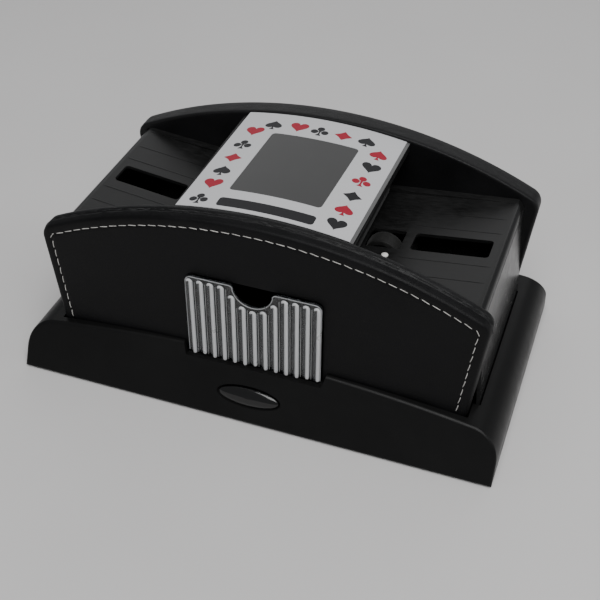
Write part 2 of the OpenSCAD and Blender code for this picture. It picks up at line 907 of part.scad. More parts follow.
color("silver") left() feed_shaft();  // left_feed_shaft
color([0.12, 0.12, 0.12]) left() roller_hub();  // left_roller_hub
color([0.2, 0.2, 0.19]) left() roller_tyre();  // left_roller_tyre
color("white") left() shaft_bushes();  // left_shaft_bushes
color([0.12, 0.12, 0.12]) left() roller_gear();  // left_roller_gear
color([0.12, 0.12, 0.12]) left() idler_gear();  // left_idler_gear
color([0.12, 0.12, 0.12]) left() compound_gear();  // left_compound_gear
color([0.3, 0.3, 0.31]) left() motor_can();  // left_motor_can
color([0.12, 0.12, 0.12]) left() motor_cap();  // left_motor_cap
color("silver") left() motor_bracket();  // left_motor_bracket
color("silver") left() motor_shaft();  // left_motor_shaft
color("gold") left() motor_pinion();  // left_motor_pinion
color("silver") feed_shaft();  // right_feed_shaft
color([0.12, 0.12, 0.12]) roller_hub();  // right_roller_hub
color([0.2, 0.2, 0.19]) roller_tyre();  // right_roller_tyre
color("white") shaft_bushes();  // right_shaft_bushes
color([0.12, 0.12, 0.12]) roller_gear();  // right_roller_gear
color([0.12, 0.12, 0.12]) idler_gear();  // right_idler_gear
color([0.12, 0.12, 0.12]) compound_gear();  // right_compound_gear
color([0.3, 0.3, 0.31]) motor_can();  // right_motor_can
color([0.12, 0.12, 0.12]) motor_cap();  // right_motor_cap
color("silver") motor_bracket();  // right_motor_bracket
color("silver") motor_shaft();  // right_motor_shaft
color("gold") motor_pinion();  // right_motor_pinion
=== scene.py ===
# Automatic card shuffler: surfaces, finer shapes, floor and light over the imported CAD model.
# Lengths are in millimetres until MM turns them into metres. The lights' places and sizes are in metres.
import math
import random

import bmesh
import bpy
from mathutils import Matrix, Vector, noise


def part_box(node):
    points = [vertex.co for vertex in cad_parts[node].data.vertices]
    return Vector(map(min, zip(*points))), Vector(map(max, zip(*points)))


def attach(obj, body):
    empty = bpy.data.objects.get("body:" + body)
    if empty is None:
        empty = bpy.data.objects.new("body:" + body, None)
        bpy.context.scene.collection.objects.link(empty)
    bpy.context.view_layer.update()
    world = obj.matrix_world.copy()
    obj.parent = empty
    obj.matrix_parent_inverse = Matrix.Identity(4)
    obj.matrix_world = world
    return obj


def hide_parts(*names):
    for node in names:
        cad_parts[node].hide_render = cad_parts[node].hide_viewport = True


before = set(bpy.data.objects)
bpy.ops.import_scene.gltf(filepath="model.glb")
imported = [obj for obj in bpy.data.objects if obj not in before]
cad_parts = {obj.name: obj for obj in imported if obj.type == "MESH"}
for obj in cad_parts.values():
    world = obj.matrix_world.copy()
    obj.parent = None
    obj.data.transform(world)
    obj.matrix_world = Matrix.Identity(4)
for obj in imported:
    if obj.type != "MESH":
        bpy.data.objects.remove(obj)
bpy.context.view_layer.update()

MM = 0.001


def mm_box(node):
    """Lowest and highest corner of a CAD node, in millimetres."""
    low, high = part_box(node)
    return low / MM, high / MM


# ---------- camera ----------

# Angles in degrees, and the lens in millimetres for a frame 36 mm wide
CAMERA_AZIMUTH = 19.43
CAMERA_ELEVATION = 39.18
CAMERA_ROLL = 0.46
CAMERA_LENS = 66.25
CAMERA_PLACE = Vector((151.5, -421.1, 388.7)) * MM


def make_camera():
    """The photo's view, as solved from its perspective."""
    data = bpy.data.cameras.new("camera")
    data.sensor_width = 36
    data.lens = CAMERA_LENS
    camera = bpy.data.objects.new("camera", data)
    bpy.context.scene.collection.objects.link(camera)
    az, el, roll = (math.radians(a) for a in (CAMERA_AZIMUTH, CAMERA_ELEVATION, CAMERA_ROLL))
    back = Vector((math.sin(az) * math.cos(el), -math.cos(az) * math.cos(el), math.sin(el)))
    level = Vector((0, 0, 1)).cross(back).normalized()
    rise = back.cross(level)
    right = math.cos(roll) * level + math.sin(roll) * rise
    up = back.cross(right)
    turn = Matrix((right, up, back)).transposed().to_4x4()
    camera.matrix_world = Matrix.Translation(CAMERA_PLACE) @ turn
    bpy.context.scene.camera = camera


make_camera()


# ---------- materials ----------

class Surface:
    """A Principled material and the nodes that feed it. Textures use the object's own coordinates."""

    def __init__(self, name, color=None, **sockets):
        self.material = bpy.data.materials.new(name)
        self.material.use_nodes = True
        self.tree = self.material.node_tree
        self.shader = self.tree.nodes["Principled BSDF"]
        self.place = self.tree.nodes.new("ShaderNodeTexCoord").outputs["Object"]
        if color:
            self.shader.inputs["Base Color"].default_value = (*color, 1)
        for socket, value in sockets.items():
            self.shader.inputs[socket.replace("_", " ")].default_value = value

    def node(self, kind, inputs, **settings):
        """Adds a shader node. Inputs that are sockets are linked, and the others are set."""
        made = self.tree.nodes.new("ShaderNode" + kind)
        for key, value in settings.items():
            setattr(made, key, value)
        for key, value in inputs.items():
            if isinstance(value, bpy.types.NodeSocket):
                self.tree.links.new(value, made.inputs[key])
            else:
                made.inputs[key].default_value = value
        return made

    def noise(self, size, detail=2.0, rough=0.5, stretch=(1, 1, 1)):
        """Noise whose blotches are about size millimetres across."""
        place = self.node("Mapping", {"Vector": self.place, "Scale": stretch}).outputs["Vector"]
        inputs = {"Vector": place, "Scale": 1 / (size * MM), "Detail": detail, "Roughness": rough}
        return self.node("TexNoise", inputs).outputs["Fac"]

    def cells(self, size):
        """Distance to the edges of Voronoi cells about size millimetres across."""
        inputs = {"Vector": self.place, "Scale": 1 / (size * MM)}
        return self.node("TexVoronoi", inputs, feature="DISTANCE_TO_EDGE").outputs["Distance"]

    def remap(self, value, low, high, out_low, out_high):
        """Value with the range low to high stretched to out_low to out_high."""
        inputs = {"Value": value, "From Min": low, "From Max": high, "To Min": out_low, "To Max": out_high}
        return self.node("MapRange", inputs).outputs["Result"]

    def shades(self, value, *stops):
        """Colour ramp: each stop is (place, (r, g, b))."""
        ramp = self.node("ValToRGB", {"Fac": value})
        while len(ramp.color_ramp.elements) < len(stops):
            ramp.color_ramp.elements.new(0.5)
        for element, (at, color) in zip(ramp.color_ramp.elements, stops):
            element.position = at
            element.color = (*color, 1)
        return ramp.outputs["Color"]

    def bump(self, height, depth, strength=1.0, under=None):
        """Normal for a height map whose full range is depth millimetres."""
        inputs = {"Height": height, "Distance": depth * MM, "Strength": strength}
        if under:
            inputs["Normal"] = under
        return self.node("Bump", inputs).outputs["Normal"]

    def feed(self, **sockets):
        """Links each value to the shader's socket of that name, and gives the finished material."""
        for socket, value in sockets.items():
            self.tree.links.new(value, self.shader.inputs[socket.replace("_", " ")])
        return self.material


def grey(v):
    return (v, v, v)


def leather(name, color, grain, roughness, gloss):
    """Leatherette: small pebbled cells broken up by noise, with slightly uneven gloss."""
    s = Surface(name, Specular_IOR_Level=gloss)
    pebbles = s.remap(s.cells(grain), 0.0, 0.35, 0.0, 1.0)
    fine = s.noise(grain * 0.4, detail=3)
    patches = s.noise(24, detail=2)
    normal = s.bump(s.noise(30, detail=1), 0.35, 0.5)
    normal = s.bump(fine, 0.03, 0.6, normal)
    normal = s.bump(pebbles, 0.07, 0.8, normal)
    dark = tuple(c * 0.6 for c in color)
    return s.feed(
        Base_Color=s.shades(patches, (0.35, dark), (0.7, color)),
        Roughness=s.remap(patches, 0.3, 0.7, roughness - 0.05, roughness + 0.08),
        Normal=normal,
    )


def moulded(name, color, roughness, texture=0.25, depth=0.02, wear=0.06, coat=0.0, gloss=0.4):
    """Moulded plastic: fine texture, faint flow variation in gloss, and slight dust."""
    s = Surface(name, Specular_IOR_Level=gloss, Coat_Weight=coat, Coat_Roughness=0.08)
    broad = s.noise(35, detail=3)
    smudges = s.noise(6, detail=4, rough=0.6)
    lighter = tuple(c * (1 + wear * 3) + wear * 0.012 for c in color)
    return s.feed(
        Base_Color=s.shades(broad, (0.35, color), (0.75, lighter)),
        Roughness=s.remap(smudges, 0.3, 0.75, roughness - wear, roughness + wear),
        Normal=s.bump(s.noise(texture, detail=2), depth, 0.7, s.bump(broad, 0.12, 0.3)),
    )


def metal(name, color, roughness):
    """Plated or rolled metal with a fine uneven shade."""
    s = Surface(name, Metallic=1.0)
    grain = s.noise(0.4, detail=3)
    darker = tuple(c * 0.8 for c in color)
    return s.feed(
        Base_Color=s.shades(grain, (0.3, darker), (0.7, color)),
        Roughness=s.remap(grain, 0.3, 0.7, roughness - 0.06, roughness + 0.1),
        Normal=s.bump(grain, 0.01, 0.4),
    )


def rubber(name, color, roughness=0.75, film=0.01):
    """Rubber or thread: matt, with a faint sheen and dusty patches, which film lightens."""
    s = Surface(name, Specular_IOR_Level=0.35, Sheen_Weight=0.1)
    dust = s.noise(3, detail=4)
    lighter = tuple(c * 1.5 + film for c in color)
    return s.feed(
        Base_Color=s.shades(dust, (0.4, color), (0.75, lighter)),
        Roughness=s.remap(dust, 0.3, 0.7, roughness - 0.08, roughness + 0.1),
        Normal=s.bump(s.noise(0.5, detail=3), 0.04, 0.7),
    )


def clear(name, color, roughness, weight, ripple=0.02):
    """Clear plastic, or frosted plastic with a lower transmission weight and more roughness."""
    s = Surface(name, color, IOR=1.5, Transmission_Weight=weight, Specular_IOR_Level=0.5)
    haze = s.noise(9, detail=3)
    return s.feed(
        Roughness=s.remap(haze, 0.3, 0.7, roughness * 0.6, roughness * 1.4),
        Base_Color=s.shades(haze, (0.3, tuple(c * 0.97 for c in color)), (0.7, color)),
        Normal=s.bump(s.noise(14, detail=1), ripple, 0.5),
    )


def printed(name, color, roughness, gloss):
    """Print on coated card: faint paper fibre under the gloss."""
    s = Surface(name, Specular_IOR_Level=gloss)
    fibre = s.noise(0.8, detail=4)
    return s.feed(
        Base_Color=s.shades(fibre, (0.3, tuple(c * 0.96 for c in color)), (0.7, color)),
        Roughness=s.remap(fibre, 0.3, 0.7, roughness - 0.04, roughness + 0.04),
        Normal=s.bump(s.noise(1.5, detail=2), 0.01, 0.4),
    )


def wiped(name, dark, light, roughness, gloss, along):
    """Satin plastic with fine wipe marks in one direction and a thin uneven film of dust."""
    s = Surface(name, Specular_IOR_Level=gloss)
    marks = s.noise(0.7, detail=4, rough=0.6, stretch=along)
    film = s.noise(18, detail=3)
    shares = {0: s.remap(marks, 0.3, 0.7, 0, 0.6), 1: s.remap(film, 0.3, 0.7, 0, 0.4)}
    mixed = s.node("Math", shares).outputs[0]
    return s.feed(
        Base_Color=s.shades(mixed, (0.2, grey(dark)), (0.8, grey(light))),
        Roughness=s.remap(mixed, 0.2, 0.8, roughness - 0.06, roughness + 0.1),
        Normal=s.bump(marks, 0.02, 0.5, s.bump(film, 0.15, 0.3)),
    )


LEATHER = leather("leather_black", (0.0045, 0.0045, 0.005), 0.9, 0.45, 0.14)
WRAP = leather("leather_wrap", (0.006, 0.006, 0.0065), 0.7, 0.42, 0.22)
THREAD = rubber("thread_white", (0.40, 0.39, 0.37), 0.6)
BASE = moulded("base_satin_black", grey(0.0055), 0.36, gloss=0.14)
UNDERSIDE = moulded("underside_black", grey(0.012), 0.55, texture=0.4, depth=0.03)
TRAY = wiped("tray_satin", 0.005, 0.015, 0.38, 0.3, (0.05, 1, 1))
TRAY_WALL = moulded("tray_wall_gloss", grey(0.006), 0.24, depth=0.003, wear=0.05, gloss=0.35)
INNER = moulded("inner_black", grey(0.006), 0.5, gloss=0.25)
GATE = rubber("gate_rubber", grey(0.012), 0.6)
FOOT = rubber("foot_rubber", grey(0.02))
TYRE = rubber("tyre_rubber", (0.004, 0.004, 0.0036), 0.6, film=0.003)
GEAR = moulded("gear_black_acetal", grey(0.012), 0.4, gloss=0.3)
GEAR_GREY = moulded("gear_grey_acetal", grey(0.12), 0.4, gloss=0.3)
NYLON = moulded("nylon_white", (0.78, 0.77, 0.73), 0.4, wear=0.03)
STEEL = metal("steel_zinc", grey(0.62), 0.28)
CAN = metal("motor_can_dark", grey(0.05), 0.5)
BRASS = metal("brass_bright", (0.75, 0.55, 0.25), 0.28)
BUTTON = moulded("button_gloss", grey(0.004), 0.11, depth=0.001, wear=0.02, coat=0.25)
COVER = clear("cover_clear", (0.5, 0.51, 0.52), 0.16, 1.0, ripple=0.002)
# Grey that paints the light caught in the clear cover's edge, on the strip right of the label
COVER_EDGE_PAINTED_LIGHT = moulded("cover_edge_painted_light", grey(0.09), 0.35, depth=0.004, gloss=0.4)
COVER_SIDE = moulded("cover_side_satin", grey(0.014), 0.3, depth=0.004, gloss=0.35)
DRAWER = clear("drawer_clear", (0.70, 0.72, 0.74), 0.05, 1.0)
# Light frosted material that paints the highlights on the drawer's ribs
DRAWER_RIB_PAINTED_HIGHLIGHT = clear("drawer_rib_painted_highlight", (0.86, 0.87, 0.88), 0.4, 0.4)
# Light frosted material that paints the highlights on the drawer front's rim and between its ribs
DRAWER_EDGE_PAINTED_HIGHLIGHT = clear("drawer_edge_painted_highlight", (0.80, 0.81, 0.82), 0.4, 0.75)
CARD = printed("label_white", (0.52, 0.52, 0.53), 0.45, 0.3)
INK_BLACK = printed("ink_black", (0.012, 0.012, 0.014), 0.45, 0.2)
INK_RED = printed("ink_red", (0.32, 0.009, 0.027), 0.45, 0.2)
WINDOW = moulded("window_grey", grey(0.037), 0.2, depth=0.001, wear=0.03, gloss=0.27)
CELL = moulded("cell_sleeve", (0.03, 0.12, 0.06), 0.25, wear=0.05)
CIRCUIT = moulded("circuit_green", (0.01, 0.09, 0.03), 0.35)
SWITCH_RED = moulded("switch_red", (0.35, 0.02, 0.02), 0.35)
WIRE_RED = moulded("wire_red", (0.4, 0.02, 0.02), 0.4)


# ---------- mesh tools ----------

# Points of a CAD mesh nearer than WELD are merged. Edges of a finished mesh shorter than SLIVER collapse.
WELD = 0.002
SLIVER = 0.005


def arc(centre, r, start, end, steps):
    """Points on an arc from start to end degrees, both ends included."""
    turns = [math.radians(start + (end - start) * k / steps) for k in range(steps + 1)]
    return [(centre[0] + r * math.cos(t), centre[1] + r * math.sin(t)) for t in turns]


def loft(rows):
    """Closed skin through rings of equal length, with flat ends."""
    count = len(rows[0])
    points = [p for row in rows for p in row]
    faces = []
    for j in range(len(rows) - 1):
        for i in range(count):
            a, b = j * count + i, j * count + (i + 1) % count
            faces.append((a, b, b + count, a + count))
    last = (len(rows) - 1) * count
    faces.append(tuple(reversed(range(count))))
    faces.append(tuple(range(last, last + count)))
    return points, faces


def prism_y(outline, y1, y2):
    """Solid between two copies of an XZ outline."""
    return loft([[(x, y, z) for x, z in outline] for y in (y1, y2)])


def prism_z(outline, z1, z2):
    """Solid between two copies of an XY outline."""
    return loft([[(x, y, z) for x, y in outline] for z in (z1, z2)])


def round_rect(w, h, r):
    """Centred rectangle with round corners, anticlockwise."""
    points = []
    for k, (sx, sy) in enumerate([(1, 1), (-1, 1), (-1, -1), (1, -1)]):
        points += arc((sx * (w / 2 - r), sy * (h / 2 - r)), r, 90 * k, 90 * k + 90, 6)
    return points


def shifted(outline, dx, dy):
    return [(x + dx, y + dy) for x, y in outline]


def joined(*solids):
    """Several (points, faces) solids as one."""
    points, faces = [], []
    for more_points, more_faces in solids:
        start = len(points)
        points += more_points
        faces += [tuple(i + start for i in f) for f in more_faces]
    return points, faces


def raw_object(name, solid):
    """Object with a mesh made from (points, faces) in millimetres, and its faces turned outwards."""
    mesh = bpy.data.meshes.new(name)
    mesh.from_pydata([Vector(p) * MM for p in solid[0]], [], solid[1])
    made = bmesh.new()
    made.from_mesh(mesh)
    bmesh.ops.recalc_face_normals(made, faces=made.faces)
    made.to_mesh(mesh)
    made.free()
    obj = bpy.data.objects.new(name, mesh)
    bpy.context.scene.collection.objects.link(obj)
    return obj


def apply_modifiers(obj):
    """Gives an object the mesh that its modifiers make of it."""
    graph = bpy.context.evaluated_depsgraph_get()
    mesh = bpy.data.meshes.new_from_object(obj.evaluated_get(graph))
    obj.modifiers.clear()
    obj.data = mesh
    mesh.name = obj.name


def boolean(obj, solid, operation="DIFFERENCE"):
    """Cuts a solid out of an object's mesh, adds it, or keeps what both share."""
    tool = raw_object("tool", solid)
    step = obj.modifiers.new("boolean", "BOOLEAN")
    step.operation = operation
    step.object = tool
    step.solver = "EXACT"
    apply_modifiers(obj)
    bpy.data.objects.remove(tool)


def bevel(obj, width, angle=35):
    """Rounds the edges sharper than angle degrees."""
    step = obj.modifiers.new("bevel", "BEVEL")
    step.width = width * MM
    step.segments = 2
    step.limit_method = "ANGLE"
    step.angle_limit = math.radians(angle)
    step.use_clamp_overlap = True
    apply_modifiers(obj)


def close_slivers(mesh):
    """Closes up the faces without area that booleans and bevels leave."""
    made = bmesh.new()
    made.from_mesh(mesh)
    bmesh.ops.dissolve_degenerate(made, dist=SLIVER * MM, edges=made.edges)
    made.to_mesh(mesh)
    made.free()


def finish_piece(obj, body, material, nodes=(), sharp=38):
    """Smooths a piece, gives it its material, and lets it ride on its body."""
    mesh = obj.data
    close_slivers(mesh)
    for polygon in mesh.polygons:
        polygon.use_smooth = True
    mesh.set_sharp_from_angle(angle=math.radians(sharp))
    step = obj.modifiers.new("normals", "WEIGHTED_NORMAL")
    step.keep_sharp = True
    mesh.materials.clear()
    mesh.materials.append(material)
    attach(obj, body)
    if nodes:
        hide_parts(*nodes)


def cad_copy(name, node, width):
    """A CAD node's own shape with its edges rounded."""
    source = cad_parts[node]
    obj = bpy.data.objects.new(name, source.data.copy())
    bpy.context.scene.collection.objects.link(obj)
    made = bmesh.new()
    made.from_mesh(obj.data)
    bmesh.ops.remove_doubles(made, verts=made.verts, dist=WELD * MM)
    bmesh.ops.dissolve_limit(made, angle_limit=math.radians(0.4), verts=made.verts, edges=made.edges)
    made.to_mesh(obj.data)
    made.free()
    bevel(obj, width)
    return obj


# ---------- base ----------

base_low, base_high = mm_box("base_shell")
BASE_HALF = base_high.x
BASE_CROWN = base_high.z
BASE_FOOT = 72.0
BASE_LEAN = 0.45
BASE_WALL = 2.2
BASE_EDGE = 1.3
PLATE_GAP = 0.2
SHOULDER_R = 15.0
CROWN_R = 911.8
BAY_HALF = mm_box("card_drawer")[1].x + 1.0
# The openings for the trays and the panels: their heights, and the length of the panels' one
WELL_LOW, WELL_HIGH = 3, 40
WELL_LONG = 210
# The drawer's notch in the base's top: its heights, and how much further it reaches to each side at the top
NOTCH_LOW, NOTCH_HIGH = 26, 33.3
NOTCH_FLARE = 2.4


def base_outline(inset):
    """Closed XZ outline of the base: round shoulders under a slightly arched top."""
    crown_z = BASE_CROWN - CROWN_R
    shoulder_x = BASE_HALF - SHOULDER_R
    shoulder_z = crown_z + math.sqrt((CROWN_R - SHOULDER_R) ** 2 - shoulder_x ** 2)
    turn = math.degrees(math.atan2(shoulder_z - crown_z, shoulder_x))
    half, foot = BASE_HALF - inset, base_low.z + inset
    right = [(half, foot + (shoulder_z - foot) * k / 6) for k in range(6)]
    right += arc((shoulder_x, shoulder_z), SHOULDER_R - inset, 0, turn, 28)
    top = arc((0, crown_z), CROWN_R - inset, turn, 180 - turn, 60)[1:-1]
    left = [(-x, z) for x, z in reversed(right)]
    return right + top + left


def base_block(inset, edge):
    """The base's solid, pulled in by inset, with its front and rear edges rounded by edge."""
    def row(extra, depth, side):
        points = []
        for x, z in base_outline(inset + extra):
            y = BASE_FOOT - BASE_LEAN * z - inset / math.cos(math.atan(BASE_LEAN)) - depth
            points.append((x, side * y, z))
        return points
    turns = [math.radians(15 * k) for k in range(7)]
    rows = [row(edge * (1 - math.cos(t)), edge * (1 - math.sin(t)), -1) for t in reversed(turns)]
    rows += [row(edge * (1 - math.cos(t)), edge * (1 - math.sin(t)), 1) for t in turns]
    return loft(rows)


# The start button on the sloping front: its middle's height, its size, its crown and the gap around it
BUTTON_Z = 13.4
BUTTON_SIZE = (31.0, 9.0)
BUTTON_CROWN = 1.9
BUTTON_GAP = 0.4
front_turn = Matrix.Rotation(math.pi / 2 - math.atan(BASE_LEAN), 4, "X")
front_face = Matrix.Translation((0, -BASE_FOOT + BASE_LEAN * BUTTON_Z, BUTTON_Z)) @ front_turn


def on_front_face(solid):
    """Moves a solid from the sloping front face's own frame, Z outwards, to the model's."""
    return [tuple(front_face @ Vector(p)) for p in solid[0]], solid[1]


def oval(w, h, steps=72):
    turns = [2 * math.pi * k / steps for k in range(steps)]
    return [(w / 2 * math.cos(t), h / 2 * math.sin(t)) for t in turns]


def oval_stack(rings, steps=72):
    """Solid on the front face, through ovals of (width, height, distance outwards)."""
    return on_front_face(loft([[(x, y, z) for x, y in oval(w, h, steps)] for w, h, z in rings]))


def make_base():
    """Hollow plinth, open below for the floor plate and above for the trays, the panels and the drawer."""
    obj = raw_object("base_plinth", base_block(0, BASE_EDGE))
    boolean(obj, base_block(BASE_WALL, 0.01))
    plate = mm_box("bottom_plate")[1]
    boolean(obj, prism_z(round_rect(2 * plate.x + PLATE_GAP, 2 * plate.y + PLATE_GAP, 0.5), -5, 5))
    well_x, well_y = mm_box("right_tray")[1].x + 0.4, mm_box("right_tray")[1].y + 0.2
    slot_y = mm_box("rear_leather")[1].y + 0.2
    boolean(obj, prism_z(round_rect(2 * well_x, 2 * well_y, 0.5), WELL_LOW, WELL_HIGH))
    boolean(obj, prism_z(round_rect(WELL_LONG, 2 * slot_y, 0.5), WELL_LOW, WELL_HIGH))
    wide = BAY_HALF + NOTCH_FLARE
    notch = [(-BAY_HALF, NOTCH_LOW), (BAY_HALF, NOTCH_LOW), (wide, NOTCH_HIGH), (-wide, NOTCH_HIGH)]
    boolean(obj, prism_y(notch, -BASE_FOOT, 0))
    w, h = BUTTON_SIZE
    snug_w, snug_h = w + 2 * BUTTON_GAP, h + 2 * BUTTON_GAP
    dish = [(w + 3, h + 3, 1.0), (w + 2.2, h + 2.2, 0.0), (w + 1.6, h + 1.6, -0.6)]
    boolean(obj, oval_stack(dish + [(snug_w, snug_h, -0.9), (snug_w, snug_h, -5)]))
    finish_piece(obj, "housing", BASE, ["base_shell"], sharp=30)


make_base()


# ---------- start button ----------

def make_button():
    """Domed oval cap, with a flange behind the front that keeps it in and a short round stem at its back."""
    w, h = BUTTON_SIZE
    rings = []
    for k in range(12):
        t = math.radians(7.5 * k + 2)
        z = BUTTON_CROWN * math.sin(t) - 0.5
        rings.append([(x * math.cos(t), y * math.cos(t), z) for x, y in oval(w, h)])
    skirt = [[(x, y, z) for x, y in oval(w, h)] for z in (-3.5, -1.2)]
    obj = raw_object("start_button_cap", on_front_face(loft(skirt + rings)))
    flange = [(w + 4, h + 3.5, -4), (w + 4, h + 3.5, -3)]
    back = [(4, 4, -6.8), (4, 4, -3.5)]
    boolean(obj, oval_stack(flange), "UNION")
    boolean(obj, oval_stack(back, 24), "UNION")
    finish_piece(obj, "start_button", BUTTON, ["start_button"])


make_button()


# ---------- arched panels ----------

leather_low, leather_high = mm_box("front_leather")
PANEL_FRONT = -leather_low.y
PANEL_SEAM = -leather_high.y
PANEL_INNER = mm_box("rear_board")[0].y
PANEL_TOP = leather_high.z
PANEL_BOTTOM = leather_low.z
ARCH_R = 243.0
ARCH_Z = PANEL_TOP - ARCH_R
CORNER_R = 8.0
SIDE_LOW = Vector((104.5, 26))
SIDE_HIGH = Vector((110, 76))
STITCH_INSET = 5.6
STITCH_PITCH = 5.3
STITCH_LENGTH = 4.9
STITCH_FOOT = 27.5
STITCH_SLANT = -4
THREAD_R = 0.2
# How the rear panel stands: further right, higher, and thicker by this share
REAR_RIGHT = 2.2
REAR_RAISED = 0.8
REAR_THICKER = 0.08

side_dir = (SIDE_HIGH - SIDE_LOW).normalized()
side_normal = Vector((side_dir.y, -side_dir.x))


def corner_centre():
    """Centre of the round corner that touches both the slanting side and the arched top."""
    start = SIDE_HIGH - CORNER_R * side_normal
    offset = start - Vector((0, ARCH_Z))
    half_b = offset.dot(side_dir)
    c = offset.dot(offset) - (ARCH_R - CORNER_R) ** 2
    return start + (-half_b + math.sqrt(half_b ** 2 - c)) * side_dir


corner_at = corner_centre()
corner_turn = math.degrees(math.atan2(corner_at.y - ARCH_Z, corner_at.x))
side_turn = math.degrees(math.atan2(side_normal.y, side_normal.x))


def panel_curve(inset, bottom):
    """Open XZ curve up one side of the panel, over the arch and down the other, from right to left."""
    low = SIDE_LOW + side_dir * (bottom - SIDE_LOW.y) / side_dir.y - inset * side_normal
    low += side_dir * (bottom - low.y) / side_dir.y
    high = corner_at + (CORNER_R - inset) * side_normal
    right = [tuple(low + (high - low) * k / 12) for k in range(12)]
    right += arc(corner_at, CORNER_R - inset, side_turn, corner_turn, 12)
    top = arc((0, ARCH_Z), ARCH_R - inset, corner_turn, 180 - corner_turn, 200)[1:-1]
    return right + top + [(-x, z) for x, z in reversed(right)]


def panel_skin(profile, side):
    """Solid whose rings are (inset, distance from the middle plane), with ends made of level strips."""
    rows = []
    for k, (e, y, *wobble) in enumerate(profile):
        flat, outer = panel_curve(e, PANEL_BOTTOM + e), panel_curve(e - 1, PANEL_BOTTOM + e)
        if wobble:
            for i, ((x, z), (x2, z2)) in enumerate(zip(flat, outer)):
                push = wobble[0] * noise.noise(Vector((x * 0.3, z * 0.3, 5 * side + 0.8 * k)))
                flat[i] = (x + push * (x2 - x), z + push * (z2 - z))
        rows.append([(x, side * y, z) for x, z in flat])
    points, faces = loft(rows)
    faces = faces[:-2]
    count = len(rows[0])
    for start in (0, len(points) - count):
        for i in range(count // 2):
            strip = [start + k for k in (i, i + 1, count - 2 - i, count - 1 - i)]
            faces.append(tuple(dict.fromkeys(strip)))
    return points, faces


def drawer_hole():
    """The drawer's cut-out in the front panel."""
    half, top = BAY_HALF - 0.5, mm_box("card_drawer")[1].z + 0.5
    outline = [(-half, 0), (half, 0)]
    outline += arc((half - 4, top - 4), 4, 0, 90, 8) + arc((4 - half, top - 4), 4, 90, 180, 8)
    return prism_y(outline, -PANEL_FRONT - 5, 0)


# Rings of a panel's two layers: pulled in by, distance from the middle plane, and how uneven the fold is
FACING = [
    (0.6, PANEL_SEAM), (0.12, PANEL_SEAM + 0.15, 0.2), (0.0, PANEL_SEAM + 0.5, 0.25),
    (0.1, PANEL_SEAM + 1.1, 0.15), (0.35, PANEL_SEAM + 2.1, 0.1), (0.6, PANEL_FRONT - 1.5),
    (0.95, PANEL_FRONT - 0.8), (1.5, PANEL_FRONT - 0.3), (2.3, PANEL_FRONT - 0.05), (3.8, PANEL_FRONT),
    (4.9, PANEL_FRONT - 0.12), (5.3, PANEL_FRONT - 0.3), (5.9, PANEL_FRONT - 0.3),
    (6.3, PANEL_FRONT - 0.12), (7.0, PANEL_FRONT), (7.8, PANEL_FRONT),
]
FRONT_BOARD = [
    (1.6, PANEL_INNER), (0.8, PANEL_INNER + 0.12), (0.45, PANEL_INNER + 0.4), (0.3, PANEL_INNER + 0.9),
    (0.3, PANEL_INNER + 1.8, 0.1), (0.4, PANEL_INNER + 2.6, 0.2), (0.75, PANEL_INNER + 3.0, 0.3),
    (0.8, PANEL_INNER + 3.3, 0.35), (0.4, PANEL_INNER + 3.7, 0.5), (0.2, PANEL_INNER + 4.2, 0.6),
    (0.35, PANEL_INNER + 4.7, 0.5), (0.75, PANEL_SEAM - 0.25, 0.3), (1.0, PANEL_SEAM),
]
REAR_BOARD = [
    (1.9, PANEL_INNER), (1.0, PANEL_INNER + 0.15), (0.6, PANEL_INNER + 0.5), (0.35, PANEL_INNER + 1.1, 0.05),
    (0.3, PANEL_INNER + 2.2, 0.1), (0.3, PANEL_SEAM - 2.0, 0.15), (0.3, PANEL_SEAM - 1.0, 0.15),
    (0.3, PANEL_SEAM),
]
REAR_FACING = [(0.3, PANEL_SEAM), (0.28, PANEL_SEAM + 1.0, 0.1), (0.3, PANEL_SEAM + 2.2, 0.1)]
REAR_FACING += [(0.4, PANEL_FRONT - 1.2), (0.6, PANEL_FRONT - 0.6), (1.0, PANEL_FRONT - 0.2)] + FACING[8:]


def stitch(middle, along, out):
    """One stitch: a thread that sags a little and dips into the leather at both ends."""
    across = along.cross(out)
    rings = []
    for k in range(9):
        s = 2 * k / 8 - 1
        r = THREAD_R * math.sqrt(max(0.12, 1 - 0.75 * s ** 6))
        sag = 0.12 * (1 - s * s)
        centre = middle + along * (s * STITCH_LENGTH / 2) + across * sag + out * (0.12 - 0.45 * s ** 4)
        turns = [2 * math.pi * i / 8 for i in range(8)]
        rings.append([tuple(centre + r * (math.cos(t) * out + math.sin(t) * across)) for t in turns])
    return loft(rings)


def make_stitching(name, side):
    """Slanted stitches at an even pitch along the line sewn inside the panel's edge."""
    curve = [Vector((x, z)) for x, z in panel_curve(STITCH_INSET, STITCH_FOOT)]
    steps = [(b - a).length for a, b in zip(curve, curve[1:])]
    count = round(sum(steps) / STITCH_PITCH)
    pitch = sum(steps) / count
    out = Vector((0, side, 0))
    chance = random.Random(7)
    stitches, run, k = [], 0.0, 0
    for n in range(count):
        target = (n + 0.5) * pitch
        while run + steps[k] < target:
            run += steps[k]
            k += 1
        along = (curve[k + 1] - curve[k]).normalized()
        at = curve[k] + along * (target - run)
        if side < 0 and abs(at.x) < BAY_HALF and at.y < 75:
            continue
        middle = Vector((at.x, side * (PANEL_FRONT - 0.3), at.y))
        slant = Matrix.Rotation(math.radians(STITCH_SLANT + chance.uniform(-3, 3)), 3, out)
        stitches.append(stitch(middle, slant @ Vector((along.x, 0, along.y)), out))
    obj = raw_object(name, joined(*stitches))
    settle(obj, side)
    finish_piece(obj, "housing", THREAD)


def settle(obj, side):
    """Moves a piece of the rear panel to where that panel stands, and leaves the front one."""
    if side > 0:
        for vertex in obj.data.vertices:
            y = vertex.co.y / MM
            vertex.co += Vector((REAR_RIGHT, REAR_THICKER * (y - PANEL_INNER), REAR_RAISED)) * MM


